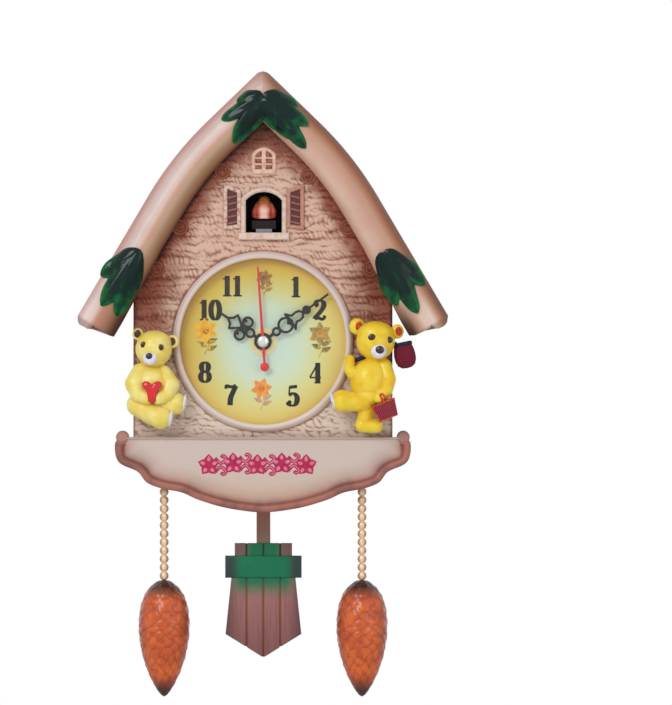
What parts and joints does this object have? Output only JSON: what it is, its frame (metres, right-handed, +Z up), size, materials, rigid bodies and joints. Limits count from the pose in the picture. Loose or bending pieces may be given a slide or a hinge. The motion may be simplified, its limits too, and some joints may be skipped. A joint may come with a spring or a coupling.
{
  "type": "wall clock",
  "caption": "House-shaped quartz wall clock with log roof, bird window, round dial, apron board, swinging pendulum and hanging cones on chains.",
  "frame": {"origin": "top end of the keyhole slot in the rear cover, on the wall plane, where the hanging screw carries the clock", "axes": "+X to the right seen from the front, +Z up, -Y out of the wall towards the viewer; the wall plane is y = 0"},
  "size_m": [0.2476, 0.0669, 0.4167],
  "materials": {
    "house_front": "painted resin, rosy brown to pale beige",
    "log_roof": "painted resin, pink-beige to orange-brown",
    "apron": "painted resin, pale panel with rosy rim",
    "back_plastic": "moulded brown",
    "leaf_paint": "glossy green",
    "pale_bear_paint": "painted resin, pale yellow",
    "heart_paint": "glossy red",
    "gold_bear_paint": "painted resin, deep yellow",
    "basket_paint": "maroon with orange edges",
    "bundle_paint": "maroon with navy edge",
    "dial_card": "printed, pale green centre and golden edge",
    "clear_dome": "clear",
    "dial_brass": "polished",
    "hand_black": "black enamel",
    "hand_red": "red enamel with silver cap",
    "movement_plastic": "moulded black",
    "wheel_plastic": "moulded ivory",
    "magnet": "bare",
    "steel": "plated",
    "coil_wire": "enamelled copper",
    "board_green": "circuit board",
    "cell_jacket": "printed jacket, plain",
    "rod_paint": "painted brown",
    "bob_paint": "painted planks with green band",
    "box_black": "moulded black",
    "carriage_plastic": "moulded grey",
    "bird_paint": "red-brown with pale belly",
    "speaker_cone": "black cone",
    "hook_brass": "polished",
    "bead_gold": "pearly gold",
    "cone_paint": "glossy orange-brown, dark ends"
  },
  "bodies": {
    "case": {"front_case": "house_front", "roof_moulding": "log_roof", "base_board": "apron", "rear_cover": "back_plastic", "apex_leaves": "leaf_paint", "left_leaves": "leaf_paint", "right_leaves": "leaf_paint", "left_bear": "pale_bear_paint", "left_bear_heart": "heart_paint", "right_bear": "gold_bear_paint", "right_bear_basket": "basket_paint", "right_bear_bundle": "bundle_paint", "dial_plate": "dial_card", "dial_lens": "clear_dome", "dial_washer": "dial_brass", "dial_nut": "dial_brass", "threaded_bush": "dial_brass", "movement_base": "movement_plastic", "movement_cover": "movement_plastic", "pendulum_bracket": "movement_plastic", "battery_tray": "movement_plastic", "speaker_magnet": "magnet", "rear_cover_screws": "steel", "stator": "steel", "quartz_crystal": "steel", "battery_contacts": "steel", "pendulum_pivot_pin": "steel", "drive_coil": "coil_wire", "pendulum_coil": "coil_wire", "bird_solenoid": "coil_wire", "circuit_board": "board_green", "chime_board": "board_green", "battery": "cell_jacket", "chime_batteries": "cell_jacket", "bird_box": "box_black", "speaker": "speaker_cone", "chain_hooks": "hook_brass"},
    "hour": {"hour_wheel": "wheel_plastic", "hour_hand": "hand_black"},
    "minute": {"minute_wheel": "wheel_plastic", "minute_hand": "hand_black"},
    "second": {"second_wheel": "wheel_plastic", "second_hand": "hand_red"},
    "third": {"third_wheel": "wheel_plastic"},
    "motion": {"motion_wheel": "wheel_plastic"},
    "intermediate": {"intermediate_wheel": "wheel_plastic"},
    "rotor_body": {"rotor": "magnet"},
    "knob": {"setting_knob": "movement_plastic"},
    "pendulum": {"pendulum_rocker": "wheel_plastic", "pendulum_magnet": "magnet", "pendulum_rod": "rod_paint", "pendulum_bob": "bob_paint"},
    "left_weight": {"left_chain": "bead_gold", "left_cone": "cone_paint"},
    "right_weight": {"right_chain": "bead_gold", "right_cone": "cone_paint"},
    "bird_slide": {"bird_carriage": "carriage_plastic", "bird": "bird_paint"},
    "switch": {"volume_switch": "movement_plastic"},
    "door": {"battery_door": "back_plastic"}
  },
  "joints": [
    {"name": "minute_turn", "type": "hinge", "parent": "case", "child": "minute", "pos_m": [0, -0.03, -0.1277], "axis": [0, 1, 0], "continuous": true},
    {"name": "hour_turn", "type": "hinge", "parent": "case", "child": "hour", "pos_m": [0, -0.03, -0.1277], "axis": [0, 1, 0], "continuous": true},
    {"name": "second_turn", "type": "hinge", "parent": "case", "child": "second", "pos_m": [0, -0.03, -0.1277], "axis": [0, 1, 0], "continuous": true},
    {"name": "third_turn", "type": "hinge", "parent": "case", "child": "third", "pos_m": [-0.00994, -0.03, -0.13344], "axis": [0, 1, 0], "continuous": true},
    {"name": "motion_turn", "type": "hinge", "parent": "case", "child": "motion", "pos_m": [0, -0.03, -0.1397], "axis": [0, 1, 0], "continuous": true},
    {"name": "intermediate_turn", "type": "hinge", "parent": "case", "child": "intermediate", "pos_m": [0.00862, -0.03, -0.12618], "axis": [0, 1, 0], "continuous": true},
    {"name": "rotor_turn", "type": "hinge", "parent": "case", "child": "rotor_body", "pos_m": [0.01571, -0.03, -0.12743], "axis": [0, 1, 0], "continuous": true},
    {"name": "knob_turn", "type": "hinge", "parent": "case", "child": "knob", "pos_m": [0.01128, -0.02, -0.1438], "axis": [0, 1, 0], "continuous": true},
    {"name": "pendulum_swing", "type": "hinge", "parent": "case", "child": "pendulum", "pos_m": [0, -0.011, -0.16], "axis": [0, 1, 0], "range_deg": [-5, 5]},
    {"name": "left_chain_swing", "type": "hinge", "parent": "case", "child": "left_weight", "pos_m": [-0.066, -0.0345, -0.2105], "axis": [0, 1, 0], "range_deg": [-10, 10]},
    {"name": "right_chain_swing", "type": "hinge", "parent": "case", "child": "right_weight", "pos_m": [0.066, -0.0345, -0.2105], "axis": [0, 1, 0], "range_deg": [-10, 10]},
    {"name": "bird_slide_out", "type": "slide", "parent": "case", "child": "bird_slide", "axis": [0, -1, 0], "range_m": [0, 0.012], "stiffness_N_per_m": 4, "springref_m": -0.002},
    {"name": "volume_switch_slide", "type": "slide", "parent": "case", "child": "switch", "axis": [1, 0, 0], "range_m": [0, 0.004]},
    {"name": "battery_door_off", "type": "slide", "parent": "case", "child": "door", "axis": [0, 1, 0], "range_m": [0, 0.008]}
  ],
  "couplings": [
    {"joint": "hour_turn", "follows": "minute_turn", "ratio": 0.083333},
    {"joint": "second_turn", "follows": "minute_turn", "ratio": 60},
    {"joint": "third_turn", "follows": "minute_turn", "ratio": -8},
    {"joint": "motion_turn", "follows": "minute_turn", "ratio": -0.33333},
    {"joint": "knob_turn", "follows": "minute_turn", "ratio": 1},
    {"joint": "intermediate_turn", "follows": "minute_turn", "ratio": -360},
    {"joint": "rotor_turn", "follows": "minute_turn", "ratio": 1800}
  ]
}
